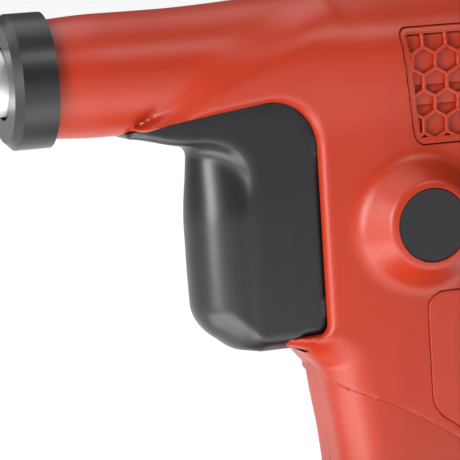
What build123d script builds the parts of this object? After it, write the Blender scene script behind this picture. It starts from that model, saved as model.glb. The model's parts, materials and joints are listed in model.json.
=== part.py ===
from build123d import *
import math
import os

# A cordless hot glue gun, in millimetres. +Z is up, the nozzle points to -X and the button is on -Y.
# The origin is the centre of the battery's underside.

# Battery pack and foot
battery_length = 118.0
battery_width = 75.0
battery_height = 41.0
battery_corner = 9.0
battery_wall = 2.2
battery_split = 24.0
battery_floor_gap = 0.3
cell_radius = 9.15
cell_length = 65.0
cell_count = 5
rail_half_width = 23.5
rail_stem_half_width = 19.5
rail_stem_height = 4.2
rail_flange_height = 4.0
rail_length = 92.0
rail_clearance = 0.35
tower_length = 12.5
tower_height = 13.0
foot_height = 21.0
foot_corner = 12.0
latch_travel = 2.5
latch_half_width = 9.0
latch_arm_half_width = 5.0
latch_gap = 0.3
blade_thickness = 0.8
blade_ys = (-12.0, -4.0, 4.0, 12.0)
blade_length = 17.0
leaf_thickness = 0.4

# Housing
barrel_z = 182.0
barrel_front_x = -99.0
barrel_rear_x = 43.0
barrel_radius = 15.9
barrel_swell = 2.5
barrel_rear_radius = 14.2
wall = 2.4
flank_half_width = 16.3
flank_swell = 1.7
hood_front_x = -84.0
hood_half_width = 5.4
opening_rear_x = -26.7
opening_top_z = 173.6
opening_bottom_z = 110.0
opening_corner = 14.0
lip_x = -41.0
grip_half_width = 16.4
grip_inset = 0.8
seam_front_z = 97.0
seam_rear_z = 77.0
rib = 2.0

# Screws
screw_radius = 1.5
screw_head_radius = 2.9
screw_head_height = 2.4
screw_seat_y = 7.0
screw_tip_y = -9.0
screw_boss_radius = 4.4
screw_clearance = 0.06
screw_places = (
    (-38.8, 192.7), (35.5, 165.6), (13.0, 151.0), (13.0, 108.0), (-19.5, 102.0), (-12.0, 70.0), (9.0, 70.0))

# Trigger and its drive
trigger_travel = 18.0
trigger_half_width = 13.4
trigger_wall = 2.2
nose_half_width = 9.0
trigger_rear_x = -24.7
trigger_front_x = -58.5
trigger_top_z = 172.6
trigger_bottom_z = 106.0
rail_bottom_z = 115.0
rail_top_z = 157.5
rail_rib_height = 5.0
rail_rear_x = -1.0
tongue_half_width = 3.3
lever_x = -12.7
lever_z = 166.0
lever_lower_arm = 21.0
lever_upper_arm = 16.0
lever_plate_y = 8.6
lever_plate = 2.0
lever_eye_radius = 4.2
drive_pin_radius = 2.5
slot_clearance = 0.3
pivot_radius = 2.0
running_clearance = 0.05
trigger_spring_z = 125.5
trigger_spring_radius = 3.6
trigger_spring_wire = 0.8
trigger_spring_turns = 11
spring_seat_x = -6.0

# Glue path
stick_radius = 5.6
inlet_bore_radius = 6.0
inlet_length = 12.0
carriage_length = 15.0
carriage_half_width = 8.2
carriage_bore_radius = 6.1
carriage_floor_z = 174.0
carriage_top_z = 193.2
trunnion_radius = 1.8
jaw_pin_radius = 1.0
guide_half_width = 7.4
guide_plate = 2.4
guide_front_x = -29.0
guide_ring_radius = 9.6
sleeve_radius = 7.9
sleeve_rear_x = -44.0
chamber_front_x = -110.0
chamber_rear_x = -62.0
chamber_radius = 8.6
chamber_bore_radius = 5.9
chamber_throat_radius = 1.4
chamber_flat_y = 7.4
heater_length = 22.5
heater_front_x = -92.5
heater_width = 11.0
heater_thickness = 2.6
ring_outer_radius = 12.4
ring_length = 4.0
ring_fronts = (-99.0, -69.0)
fuse_radius = 1.3
band_thickness = 0.7
nozzle_tip_x = -134.0
nozzle_seat_x = -110.0
nozzle_bore_radius = 1.2
nozzle_tip_radius = 2.2
nozzle_hex_radius = 7.0
nozzle_thread_radius = 5.0
nozzle_thread_length = 7.5
valve_radius = 2.0
valve_chamber_radius = 2.5
boot_wall = 1.8
collar_radius = 17.4
collar_length = 11.0
collar_overlap = 5.0
collar_hole_radius = 9.6

# Button, switch and board
button_x = 0.8
button_z = 137.6
button_radius = 9.5
button_face_y = -25.2
boss_base_radius = 17.7
boss_rim_radius = 11.4
boss_face_y = -25.6
button_clearance = 0.2
button_flange_radius = 10.9
button_flange_y = -21.6
button_stem_radius = 3.0
switch_size = 7.0
switch_front_y = -13.0
board_y = -5.9
board_thickness = 1.6

# Panels and pad
vent_front_x = -3.9
vent_rear_x = 30.0
vent_low_z = 158.0
vent_high_z = 189.0
vent_thickness = 1.2
vent_cell = 5.6
vent_web = 1.1
pad_proud = 0.4
pad_depth = 1.1
pad_front_x = 1.0
pad_margin = 2.4
pad_high_z = 119.0

BOTH = (-1, 1)


# ---------------------------------------------------------------- helpers

def write(name, shapes):
    """Write one sub-part, a solid or a group of solids, as a STEP file of its own."""
    solids = [solid for shape in shapes for solid in shape.solids()]
    shape = solids[0] if len(solids) == 1 else Compound(children=solids)
    export_step(shape, f"parts/{name}.step")


def block(low, high):
    """An upright box between two opposite corners."""
    size = [b - a for a, b in zip(low, high)]
    return Pos(*[(a + b) / 2 for a, b in zip(low, high)]) * Box(*size)


def rod_x(radius, x0, x1, y=0.0, z=barrel_z):
    """A cylinder along X."""
    return Pos((x0 + x1) / 2, y, z) * Rot(0, 90, 0) * Cylinder(radius, abs(x1 - x0))


def rod_y(radius, y0, y1, x, z):
    """A cylinder along Y."""
    return Pos(x, (y0 + y1) / 2, z) * Rot(90, 0, 0) * Cylinder(radius, abs(y1 - y0))


def cone_x(radius0, x0, radius1, x1, z=barrel_z):
    """A cone along X whose radius goes from radius0 at x0 to radius1 at x1."""
    profile = Polyline((x0, 0, z), (x0, 0, z + radius0), (x1, 0, z + radius1), (x1, 0, z), close=True)
    return revolve(make_face(profile.edges()), axis=Axis((0, 0, z), (1, 0, 0)))


def side_prism(points, y0, y1, radius=0.0):
    """An outline in the side view, with rounded corners, carried from y0 to y1."""
    if not isinstance(radius, (list, tuple)):
        radius = [radius] * len(points)
    outline = FilletPolyline(*[(x, 0, z) for x, z in points], radius=radius, close=True)
    return Pos(0, y0, 0) * extrude(make_face(outline.edges()), amount=y1 - y0, dir=(0, 1, 0))


def rounded_plan(x0, x1, half_width, corner, z):
    """A rounded rectangle in the plan view at height z."""
    return Pos((x0 + x1) / 2, 0, z) * RectangleRounded(x1 - x0, 2 * half_width, corner)


def coil(radius, wire, turns, start, direction, length):
    """A closed-end compression spring from start, running length along direction."""
    pitch = (length - wire) / turns
    path = Helix(pitch=pitch, height=length - wire, radius=radius)
    section = Plane(origin=path @ 0, z_dir=path % 0) * Circle(wire / 2)
    spring = sweep(section, path=path, is_frenet=True)
    return Plane(origin=start, z_dir=direction) * (Pos(0, 0, wire / 2) * spring)


# ---------------------------------------------------------------- outer forms

foot_top = battery_height + foot_height
foot_front_x = -battery_length / 2 + tower_length
rail_top = battery_height + rail_stem_height + rail_flange_height
rear_wall_x = barrel_rear_x - wall
swing = math.degrees(math.asin(trigger_travel / 2 / lever_lower_arm))
carriage_x = lever_x + lever_upper_arm * math.tan(math.radians(swing))


def barrel_form(inset):
    """The barrel, a body of revolution that swells towards the rear."""
    swollen = barrel_radius + barrel_swell
    profile = Spline(
        (barrel_front_x, 0, barrel_z + barrel_radius - 0.9 - inset),
        (barrel_front_x + 22, 0, barrel_z + barrel_radius - inset),
        (hood_front_x + 30, 0, barrel_z + barrel_radius + 0.5 - inset),
        (-8, 0, barrel_z + swollen - inset),
        (barrel_rear_x - 12, 0, barrel_z + swollen - 1.2 - inset),
        (barrel_rear_x, 0, barrel_z + barrel_rear_radius - inset),
    )
    ends = Polyline(profile @ 1, (barrel_rear_x, 0, barrel_z), (barrel_front_x, 0, barrel_z), profile @ 0)
    return revolve(make_face(profile.edges() + ends.edges()), axis=Axis((0, 0, barrel_z), (1, 0, 0)))


def width_form(inset):
    """Plan view of the body: narrow under the barrel's front, widest at the button, drawn in behind."""
    widest = flank_half_width + flank_swell - inset
    side = Spline(
        (hood_front_x, hood_half_width - inset),
        (hood_front_x + 14, flank_half_width - 5.3 - inset),
        (hood_front_x + 34, flank_half_width - 0.7 - inset),
        (opening_rear_x, flank_half_width - inset),
        (-8, widest),
        (14, widest),
        (barrel_rear_x - 12, widest - 2.2),
        (barrel_rear_x + 1, widest - 8.5),
    )
    other = mirror(side, about=Plane.XZ)
    front = Line(side @ 0, other @ 0)
    rear = Line(side @ 1, other @ 1)
    plan = make_face(side.edges() + other.edges() + front.edges() + rear.edges())
    return Pos(0, 0, foot_top) * extrude(plan, amount=barrel_z - foot_top, dir=(0, 0, 1))


def flank_form(inset):
    """The body behind and above the trigger, with the trigger's opening as a notch in its front."""
    points = [
        (hood_front_x, barrel_z),
        (hood_front_x, opening_top_z - 6.6),
        (opening_rear_x, opening_top_z),
        (opening_rear_x, opening_bottom_z),
        (lip_x, opening_bottom_z - 0.6),
        (lip_x + 3.4, opening_bottom_z - 2.8),
        (-30.6, 104.2),
        (-26.9, seam_front_z),
        (0.0, 84.5),
        (19.0, seam_rear_z),
        (18.4, 100.0),
        (22.5, 132.0),
        (barrel_rear_x - 0.5, 168.0),
        (barrel_rear_x - 0.5, barrel_z),
    ]
    radii = [0, 0, opening_corner, 3.0, 1.0, 1.2, 3.0, 0, 0, 0, 20.0, 30.0, 4.0, 0]
    return side_prism(points, -30, 30, radii) & width_form(inset)


def flank_hollow():
    """The hollow inside the flank, open to the front behind the trigger."""
    points = [
        (hood_front_x + wall, barrel_z),
        (hood_front_x + wall, opening_top_z - 0.2),
        (opening_rear_x - 22, opening_top_z - 0.2),
        (opening_rear_x - 22, opening_bottom_z),
        (opening_rear_x, opening_bottom_z),
        (opening_rear_x + wall, seam_front_z + wall),
        (0.0, 84.5 + wall),
        (19.0 - wall, seam_rear_z + wall),
        (18.4 - wall, 100.0),
        (22.5 - wall, 132.0),
        (rear_wall_x - wall, 168.0),
        (rear_wall_x - wall, barrel_z),
    ]
    radii = [0, 0, 0, 0, 0, 0, 0, 0, 20.0, 30.0, 4.0, 0]
    return side_prism(points, -30, 30, radii) & width_form(wall)


def grip_form(inset):
    """The lower grip, lofted from rounded sections, a little narrower than the body above it."""
    sections = []
    for z, front, rear in ((foot_top - 4, -22.5, 19.6), (84.0, -24.6, 18.0), (102.0, -27.0, 17.6)):
        half_width = grip_half_width - grip_inset - inset
        sections.append(rounded_plan(front + grip_inset + inset, rear - inset, half_width, 12.0 - inset, z))
    return loft(sections)


def body_form(inset):
    """The barrel with the flank, which the vent panels follow."""
    return barrel_form(inset) + flank_form(inset)


def foot_form(inset):
    """The flared foot that takes the battery's rails."""
    rear = battery_length / 2
    half_width = battery_width / 2
    low = rounded_plan(foot_front_x + inset, rear - inset, half_width - inset, foot_corner - inset,
                       battery_height + rail_clearance)
    middle = rounded_plan(foot_front_x + 3 + inset, rear - 3 - inset, half_width - 3 - inset,
                          foot_corner - inset, battery_height + 13 - inset)
    high = rounded_plan(foot_front_x + 15 + inset, 32 - inset, grip_half_width + 2 - inset,
                        foot_corner - inset, foot_top - inset)
    return loft([low, middle], ruled=True) + loft([middle, high], ruled=True)


def foot_hollows():
    """The rail channel, open towards the nozzle, and the hollow above and beside it."""
    stem = rail_stem_half_width + rail_clearance
    flange = rail_half_width + rail_clearance
    stop = foot_front_x + rail_length + rail_clearance
    lip_top = battery_height + rail_stem_height - rail_clearance
    channel = block((foot_front_x - 1, -stem, battery_height), (stop, stem, lip_top))
    channel = channel + block((foot_front_x - 1, -flange, lip_top), (stop, flange, rail_top + rail_clearance))
    above = block((-60, -40, rail_top + rail_clearance + wall), (60, 40, foot_top + 1))
    sides = block((-60, -40, lip_top), (60, 40, foot_top)) - block((-60, -flange - wall, 0), (60, flange + wall, 90))
    return channel + (foot_form(wall) & (above + sides))


def boss_form():
    """The raised round boss about the button, on the left side."""
    root_y = flank_half_width - 4
    height = -boss_face_y - root_y
    base = Plane(origin=(button_x, -root_y, button_z), z_dir=(0, -1, 0))
    return base * (Pos(0, 0, height / 2) * Cone(boss_base_radius + 4.5, boss_rim_radius, height))


def vent_outline(grow):
    """Side view of the honeycomb panel, which leans forward with the body's line."""
    return [
        (vent_front_x + 4.2 - grow, vent_low_z - grow),
        (vent_rear_x + grow, vent_low_z - grow),
        (vent_rear_x + 3 + grow, vent_high_z + grow),
        (vent_front_x - grow, vent_high_z + grow),
    ]


def on_side(shape, side):
    """A right-hand shape, mirrored when it is wanted on the left."""
    return shape if side > 0 else mirror(shape, about=Plane.XZ)


def vent_skin(grow, proud):
    """The right-hand vent panel's place, from proud outside the body to the panel's depth below it."""
    prism = side_prism(vent_outline(grow), 0, 40, 2.5)
    return (body_form(-proud) & prism) - body_form(vent_thickness)


def pad_skin(grow, proud):
    """The soft pad's place round the back of the handle."""
    fall = (84.5 - seam_rear_z) / 19.0
    low_z = 84.5 + pad_margin - fall * pad_front_x - grow
    outline = [
        (pad_front_x - grow, low_z),
        (40, low_z - fall * (40 - pad_front_x)),
        (40, pad_high_z + grow),
        (pad_front_x - grow, pad_high_z + grow),
    ]
    prism = side_prism(outline, 0, 30, [3.0, 0, 0, 3.0])
    outer = Pos(proud, 0, 0) * flank_form(-proud)
    right = (outer & prism) - Pos(-pad_depth, 0, 0) * flank_form(pad_depth)
    return right + mirror(right, about=Plane.XZ)


# ---------------------------------------------------------------- housing

def trigger_channel():
    """All the room that the trigger needs between the side walls over its travel."""
    front = hood_front_x + 8
    half = trigger_half_width + slot_clearance
    outline = [
        (front, opening_bottom_z - 20),
        (front, opening_top_z - 5.2),
        (opening_rear_x - 14, trigger_top_z + 0.8),
        (trigger_rear_x + trigger_travel + 0.8, trigger_top_z + 0.8),
        (trigger_rear_x + trigger_travel + 0.8, opening_bottom_z),
        (opening_rear_x, opening_bottom_z),
        (opening_rear_x - 8, opening_bottom_z - 20),
    ]
    wide = side_prism(outline, -half, half) & width_form(wall)
    nose_half = nose_half_width + slot_clearance
    nose = block((lip_x - 3, -nose_half, trigger_bottom_z - 0.8), (-14.0, nose_half, opening_bottom_z + 1))
    return wide + nose


def opening_cut():
    """The side view of the trigger opening, cut right through both walls."""
    outline = [
        (hood_front_x + 6.5, 100),
        (hood_front_x + 6.5, opening_top_z - 6.2),
        (opening_rear_x, opening_top_z),
        (opening_rear_x, opening_bottom_z),
        (lip_x - 8, opening_bottom_z - 1),
        (lip_x - 8, 100),
    ]
    return side_prism(outline, -40, 40, [0, 0, opening_corner, 3.0, 0, 0])


def disc_rib(x, hole_radius, outer_radius):
    """A thin wall across the barrel with a round hole that seats a piece of the glue path."""
    return rod_x(outer_radius, x, x + rib) - rod_x(hole_radius, x - 1, x + rib + 1)


def rail_ribs():
    """Ribs on the side walls, above and below each of the trigger's rails."""
    ribs = Part()
    inner = trigger_half_width - trigger_wall
    for z in (rail_bottom_z, rail_top_z):
        for low in (z - slot_clearance - rib, z + rail_rib_height + slot_clearance):
            for side in BOTH:
                y0, y1 = sorted((side * inner, side * (flank_half_width - 0.3)))
                ribs = ribs + block((-5.2, y0, low), (16.0, y1, low + rib))
    return ribs


def spring_seat():
    """The wall and peg behind the trigger spring."""
    z = trigger_spring_z
    plate = block((spring_seat_x, -flank_half_width, z - 5), (spring_seat_x + rib, flank_half_width, z + 5))
    peg_radius = trigger_spring_radius - trigger_spring_wire / 2 - 0.4
    return plate + rod_x(peg_radius, spring_seat_x - 4, spring_seat_x, 0, z)


def board_posts():
    """Posts on the left wall that carry the control board."""
    posts = Part()
    for z in (125.5, 138.5):
        posts = posts + rod_y(2.2, -flank_half_width - 0.5, board_y, 14.0, z)
    return posts


def guide_ledges():
    """Ledges under and over the stick guide's side tabs."""
    ledges = Part()
    for side in BOTH:
        for low in (carriage_floor_z - guide_plate - rib, carriage_floor_z):
            y0, y1 = sorted((side * 11.0, side * flank_half_width))
            ledges = ledges + block((15.0, y0, low), (26.0, y1, low + rib))
    return ledges


def guide_pocket():
    """Room in the rear rib for the foot of the guide's rear ring."""
    half_width = guide_half_width + 0.1
    return block((20.0, -half_width, carriage_floor_z - guide_plate - 0.1), (rear_wall_x - 8.5, half_width, barrel_z))


def screw_bosses():
    bosses = Part()
    for x, z in screw_places:
        bosses = bosses + rod_y(screw_boss_radius, -40, 40, x, z)
    return bosses


def screw_holes():
    """Clearance from the right, a head seat, and a blind thread hole in the left half."""
    holes = Part()
    for x, z in screw_places:
        holes = holes + rod_y(screw_radius + screw_clearance, screw_tip_y - 0.5, screw_seat_y + 1, x, z)
        holes = holes + rod_y(screw_head_radius + 0.2, screw_seat_y, 40, x, z)
    return holes


def button_bore():
    """The stepped bore that holds the button in its boss."""
    web_y = button_flange_y + 5.8
    bore = rod_y(button_radius + button_clearance, -40, button_flange_y - 0.3, button_x, button_z)
    bore = bore + rod_y(button_flange_radius + button_clearance, button_flange_y - 0.3, web_y, button_x, button_z)
    return bore + rod_y(button_stem_radius + button_clearance, web_y - 1, -10, button_x, button_z)


def button_web():
    """The disc behind the button that its spring pushes against."""
    web_y = button_flange_y + 5.8
    return rod_y(button_flange_radius + 1.4, -flank_half_width, web_y + 1.6, button_x, button_z)


def make_housing():
    """Both halves as one shell, before it is parted at Y = 0."""
    outer = body_form(0) + grip_form(0) + foot_form(0)
    solid_rear = block((rear_wall_x, -40, barrel_z - 40), (60, 40, barrel_z + 40))
    inner = (barrel_form(wall) - solid_rear) + flank_hollow() + grip_form(wall)
    shell = (outer - inner - foot_hollows()) + (boss_form() - body_form(wall))
    room = inner + foot_form(wall)
    features = screw_bosses() + guide_ledges() + button_web()
    for front in ring_fronts:
        features = features + disc_rib(front + ring_length, chamber_radius + 1.6, barrel_radius)
        features = features + (rod_x(barrel_radius, front, front + ring_length)
                               - rod_x(ring_outer_radius + button_clearance, front, front + ring_length))
    features = features + disc_rib(sleeve_rear_x - rib, sleeve_radius + 0.1, barrel_radius)
    features = features + disc_rib(guide_front_x - 4.6, guide_ring_radius, barrel_radius)
    features = features + disc_rib(rear_wall_x - 10.6, guide_ring_radius + 0.1, barrel_radius + 1)
    rail_space = block((-60, -40, 0), (60, 40, rail_top + rail_clearance + wall))
    shell = shell + ((features & room) - rail_space - guide_pocket())
    shell = shell - trigger_channel() - opening_cut() - screw_holes() - button_bore()
    shell = shell + rail_ribs() + spring_seat() + board_posts()
    shell = shell - rod_x(inlet_bore_radius + 3.1, rear_wall_x - 3, barrel_rear_x + 5)
    for side in BOTH:
        shell = shell - on_side(vent_skin(0.15, 2), side)
    shell = shell - pad_skin(0.15, 2)
    return shell - terminal_space()


def terminal_space():
    """A pocket in the rear of the rail channel for the terminal block."""
    stop = foot_front_x + rail_length
    return block((stop - 1, -17.0, battery_height + 1.4), (stop + 8.5, 17.0, rail_top + rail_clearance))


def half(shell, side):
    """One half of the housing, on the given side of Y = 0."""
    keep = block((-200, min(0, 60 * side), -10), (200, max(0, 60 * side), 260))
    return max((shell & keep).solids(), key=lambda solid: solid.volume)


def make_vent_panel(side):
    """One honeycomb panel, let into the flank."""
    panel = vent_skin(0, 0)
    pitch = vent_cell + vent_web
    row_step = pitch * math.sqrt(3) / 2
    cells = Part()
    low_x, high_x = vent_front_x + 6.0, vent_rear_x - 3.0
    rows = int((vent_high_z - vent_low_z - 6) / row_step)
    for row in range(rows + 1):
        z = vent_low_z + 4.5 + row * row_step
        count = int((high_x - low_x) / pitch)
        for column in range(count + 1):
            x = low_x + column * pitch + (pitch / 2 if row % 2 else 0.0)
            if x > high_x:
                continue
            hexagon = Plane(origin=(x, 0, z), z_dir=(0, 1, 0)) * RegularPolygon(vent_cell / 2, 6, major_radius=False)
            cells = cells + extrude(hexagon, amount=40)
    return on_side(panel - cells, side)


def make_screws():
    screws = []
    for x, z in screw_places:
        head = rod_y(screw_head_radius, screw_seat_y, screw_seat_y + screw_head_height, x, z)
        slot = rod_y(1.2, screw_seat_y + 1.0, screw_seat_y + 5, x, z)
        shank = rod_y(screw_radius, screw_tip_y, screw_seat_y, x, z)
        screws.append(head - slot + shank)
    return screws


# ---------------------------------------------------------------- trigger and drive

def make_trigger():
    """The trigger: two cheeks between the side walls, a rounded finger nose and an upper wing."""
    shoulder_x = trigger_front_x + 8.5
    wide_outline = [
        (hood_front_x + 9.5, opening_top_z - 7.3),
        (hood_front_x + 10.2, opening_top_z - 6.2),
        (opening_rear_x - 14, trigger_top_z - 0.6),
        (trigger_rear_x, trigger_top_z - 0.6),
        (trigger_rear_x, opening_bottom_z + 0.8),
        (shoulder_x, opening_bottom_z + 0.8),
        (shoulder_x, 160.0),
        (trigger_front_x, 162.4),
    ]
    wide = side_prism(wide_outline, -20, 20, [0, 0, 0, 0, 0, 8.0, 4.0, 0])
    wide = wide & block((-90, -trigger_half_width, 90), (0, trigger_half_width, 200)) & width_form(wall + 0.4)
    nose_outline = [
        (trigger_front_x, 164.0),
        (trigger_front_x, trigger_bottom_z),
        (-34.0, trigger_bottom_z),
        (-34.0, 164.0),
    ]
    nose = side_prism(nose_outline, -nose_half_width, nose_half_width, [0, 13.0, 2.0, 0])
    nose_plan = rounded_plan(trigger_front_x, -30.0, nose_half_width, 8.0, trigger_bottom_z - 1)
    nose = nose & extrude(nose_plan, amount=70, dir=(0, 0, 1))
    cheek = trigger_half_width - trigger_wall
    hollow = block((shoulder_x + trigger_wall, -cheek, opening_bottom_z + 3), (0, cheek, 157.0))
    hollow = hollow + block((shoulder_x + 3, -cheek, 150.0), (0, cheek, 200))
    nose_hollow = block((trigger_front_x + 4.5, -nose_half_width + 2.5, 113), (-40, nose_half_width - 2.5, 157))
    body = wide + nose - hollow - nose_hollow
    for z in (rail_bottom_z, rail_top_z):
        for side in BOTH:
            y0, y1 = sorted((side * cheek, side * trigger_half_width))
            body = body + block((trigger_rear_x - 2, y0, z), (rail_rear_x, y1, z + rail_rib_height))
    pin_x = lever_x - trigger_travel / 2
    slot = drive_pin_radius + slot_clearance
    pin_top = lever_z - lever_lower_arm * math.cos(math.radians(swing)) + slot
    tongue = block((trigger_front_x + 3, -tongue_half_width, 143.2), (pin_x + slot + 2.2, tongue_half_width, pin_top + 2.4))
    cut = block((pin_x - slot, -5, 140), (pin_x + slot, 5, pin_top))
    seat = rod_x(trigger_spring_radius + 1.4, trigger_front_x + 3, shoulder_x + 1.2, 0, trigger_spring_z)
    return body + (tongue - cut) + seat


def spring_front_x():
    return trigger_front_x + 8.5 + 1.2


def make_trigger_spring():
    start = (spring_front_x(), 0, trigger_spring_z)
    length = spring_seat_x - spring_front_x()
    return coil(trigger_spring_radius, trigger_spring_wire, trigger_spring_turns, start, (1, 0, 0), length)


def make_lever():
    """The fork that reverses the trigger's pull: drive pin below, pivot between, slotted arms above."""
    outline = [
        (-lever_eye_radius, -lever_lower_arm - lever_eye_radius),
        (lever_eye_radius, -lever_lower_arm - lever_eye_radius),
        (lever_eye_radius, lever_upper_arm + 6.2),
        (-lever_eye_radius, lever_upper_arm + 6.2),
    ]
    slot_half = trunnion_radius + slot_clearance
    reach = lever_upper_arm / math.cos(math.radians(swing))
    slot_outline = [
        (-slot_half, lever_upper_arm - slot_half - 0.3),
        (slot_half, lever_upper_arm - slot_half - 0.3),
        (slot_half, reach + slot_half + 0.3),
        (-slot_half, reach + slot_half + 0.3),
    ]
    lever = rod_y(drive_pin_radius, -lever_plate_y - lever_plate, lever_plate_y + lever_plate, 0, -lever_lower_arm)
    for side in BOTH:
        y0, y1 = sorted((side * lever_plate_y, side * (lever_plate_y + lever_plate)))
        plate = side_prism(outline, y0, y1, lever_eye_radius - 0.1)
        plate = plate - side_prism(slot_outline, y0 - 1, y1 + 1, slot_half - 0.05)
        lever = lever + (plate - rod_y(pivot_radius + running_clearance, -20, 20, 0, 0))
    return Pos(lever_x, 0, lever_z) * Rot(0, swing, 0) * lever


def make_pivot_pin():
    reach = lever_plate_y + lever_plate + 0.2
    return rod_y(pivot_radius, -reach, reach, lever_x, lever_z)


def make_guide():
    """The stick guide: a rail plate with two ears for the lever, a front yoke and a rear ring."""
    top = carriage_floor_z - slot_clearance
    low = carriage_floor_z - guide_plate
    rear = rear_wall_x - 8.6
    plate = block((guide_front_x, -guide_half_width, low), (rear, guide_half_width, top))
    plate = plate + block((15.3, -13.6, low + 0.1), (25.7, 13.6, top))
    ears = Part()
    for side in BOTH:
        y0, y1 = sorted((side * 5.2, side * (lever_plate_y - 0.4)))
        ears = ears + block((lever_x - 4.2, y0, lever_z - 4.2), (lever_x + 4.2, y1, low))
    yoke = rod_x(flank_half_width - wall - 0.3, guide_front_x - rib - 0.6, guide_front_x)
    yoke = yoke & block((-60, -20, carriage_floor_z - 0.9), (0, 20, 220))
    ring = rod_x(guide_ring_radius, rear - 4, rear)
    ring = ring + block((rear - 4, -guide_half_width, low), (rear, guide_half_width, barrel_z))
    guide = plate + ears + yoke + ring
    guide = guide - rod_x(inlet_bore_radius + 0.2, guide_front_x - 6, rear + 3)
    return guide - rod_y(pivot_radius, -20, 20, lever_x, lever_z)


def make_carriage():
    """The feed carriage that rides round the glue stick on the guide plate."""
    x0, x1 = carriage_x - carriage_length / 2, carriage_x + carriage_length / 2
    body = block((x0, -carriage_half_width, carriage_floor_z), (x1, carriage_half_width, carriage_top_z))
    body = body - rod_x(carriage_bore_radius, x0 - 1, x1 + 1)
    body = body - block((x0 - 1, -3.1, barrel_z), (x1 - 1.2, 3.1, carriage_top_z + 1))
    pin_x, pin_z = jaw_pin_place()
    body = body - rod_y(jaw_pin_radius, -20, 20, pin_x, pin_z)
    reach = lever_plate_y + lever_plate + 0.2
    for side in BOTH:
        y0, y1 = sorted((side * (carriage_half_width - 0.5), side * reach))
        body = body + rod_y(trunnion_radius, y0, y1, carriage_x, barrel_z)
    return body


def jaw_pin_place():
    return carriage_x + 3.8, barrel_z + 8.9


def make_jaw():
    """The toothed jaw that bites the stick as the carriage moves forward."""
    pin_x, pin_z = jaw_pin_place()
    tooth_z = barrel_z + stick_radius + 0.3
    outline = [
        (pin_x + 2.0, pin_z + 1.9),
        (pin_x - 9.6, pin_z + 1.9),
        (pin_x - 9.6, tooth_z + 0.6),
        (pin_x - 8.4, tooth_z),
        (pin_x - 7.4, tooth_z + 0.8),
        (pin_x - 6.2, tooth_z),
        (pin_x - 5.2, tooth_z + 0.8),
        (pin_x + 2.0, pin_z - 1.9),
    ]
    jaw = side_prism(outline, -2.8, 2.8)
    return jaw - rod_y(jaw_pin_radius + running_clearance, -5, 5, pin_x, pin_z)


def make_jaw_pin():
    pin_x, pin_z = jaw_pin_place()
    return rod_y(jaw_pin_radius, -carriage_half_width + 0.4, carriage_half_width - 0.4, pin_x, pin_z)


def make_jaw_spring():
    """A flat spring across the carriage's slot, over the jaw."""
    x0, x1 = carriage_x - 5.5, carriage_x + carriage_length / 2
    return block((x0, -5.0, carriage_top_z), (x1, 5.0, carriage_top_z + 0.4))


# ---------------------------------------------------------------- glue path

def make_inlet_collar():
    rear = barrel_rear_x + 3
    collar = rod_x(inlet_bore_radius + 3.0, rear - inlet_length, rear) + rod_x(inlet_bore_radius + 6.4, barrel_rear_x, rear)
    return collar - rod_x(inlet_bore_radius, rear - inlet_length - 1, rear + 1)


def make_sleeve():
    return rod_x(sleeve_radius, chamber_rear_x, sleeve_rear_x) - rod_x(stick_radius + 0.1, chamber_rear_x - 1, sleeve_rear_x + 1)


def make_chamber():
    """The aluminium melt chamber: a wide bore that narrows to the valve seat, and a nozzle thread."""
    chamber = rod_x(chamber_radius, chamber_front_x, chamber_rear_x)
    for side in BOTH:
        y0, y1 = sorted((side * chamber_flat_y, side * 20))
        chamber = chamber - block((heater_front_x, y0, barrel_z - 12), (heater_front_x + heater_length, y1, barrel_z + 12))
    thread_end = chamber_front_x + nozzle_thread_length + 0.5
    chamber = chamber - rod_x(nozzle_thread_radius + running_clearance, chamber_front_x - 1, thread_end)
    chamber = chamber - rod_x(chamber_throat_radius, thread_end - 1, thread_end + 4)
    chamber = chamber - cone_x(chamber_throat_radius, thread_end + 2, chamber_bore_radius, thread_end + 10)
    return chamber - rod_x(chamber_bore_radius, thread_end + 10, chamber_rear_x + 1)


def make_heaters():
    plates = []
    for side in BOTH:
        y0, y1 = sorted((side * chamber_flat_y, side * (chamber_flat_y + heater_thickness)))
        low, high = barrel_z - heater_width / 2, barrel_z + heater_width / 2
        plates.append(block((heater_front_x, y0, low), (heater_front_x + heater_length, y1, high)))
    return plates


def make_heater_band():
    """The spring band that presses the heater plates on the chamber, open below."""
    inner = math.hypot(chamber_flat_y + heater_thickness, heater_width / 2)
    x0, x1 = heater_front_x + 5, heater_front_x + heater_length - 5
    band = rod_x(inner + band_thickness, x0, x1) - rod_x(inner, x0 - 1, x1 + 1)
    return band - block((x0 - 1, -4.5, barrel_z - 20), (x1 + 1, 4.5, barrel_z))


def make_fuse():
    z = barrel_z - chamber_radius - fuse_radius
    return rod_x(fuse_radius, heater_front_x + 6, heater_front_x + 18, 0, z)


def make_rings():
    rings = []
    for front in ring_fronts:
        ring = rod_x(ring_outer_radius, front, front + ring_length)
        rings.append(ring - rod_x(chamber_radius, front - 1, front + ring_length + 1))
    return rings


def nozzle_cone(grow):
    return cone_x(nozzle_tip_radius + grow, nozzle_tip_x, nozzle_hex_radius * 0.86 + grow, nozzle_seat_x - 6)


def make_nozzle():
    """The brass nozzle with its hexagon, thread and the room for the drip valve."""
    hexagon = Plane(origin=(nozzle_seat_x - 6, 0, barrel_z), z_dir=(1, 0, 0)) * RegularPolygon(nozzle_hex_radius, 6)
    nozzle = nozzle_cone(0) + extrude(hexagon, amount=6)
    nozzle = nozzle + rod_x(nozzle_thread_radius, nozzle_seat_x, nozzle_seat_x + nozzle_thread_length)
    nozzle = nozzle - rod_x(valve_chamber_radius, nozzle_seat_x - 13, nozzle_seat_x + nozzle_thread_length + 1)
    return nozzle - rod_x(nozzle_bore_radius, nozzle_tip_x - 1, nozzle_seat_x)


def valve_x():
    """Centre of the ball as it rests against the throat's edge."""
    face = chamber_front_x + nozzle_thread_length + 0.5
    return face - math.sqrt(valve_radius ** 2 - chamber_throat_radius ** 2) - 0.03


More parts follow.
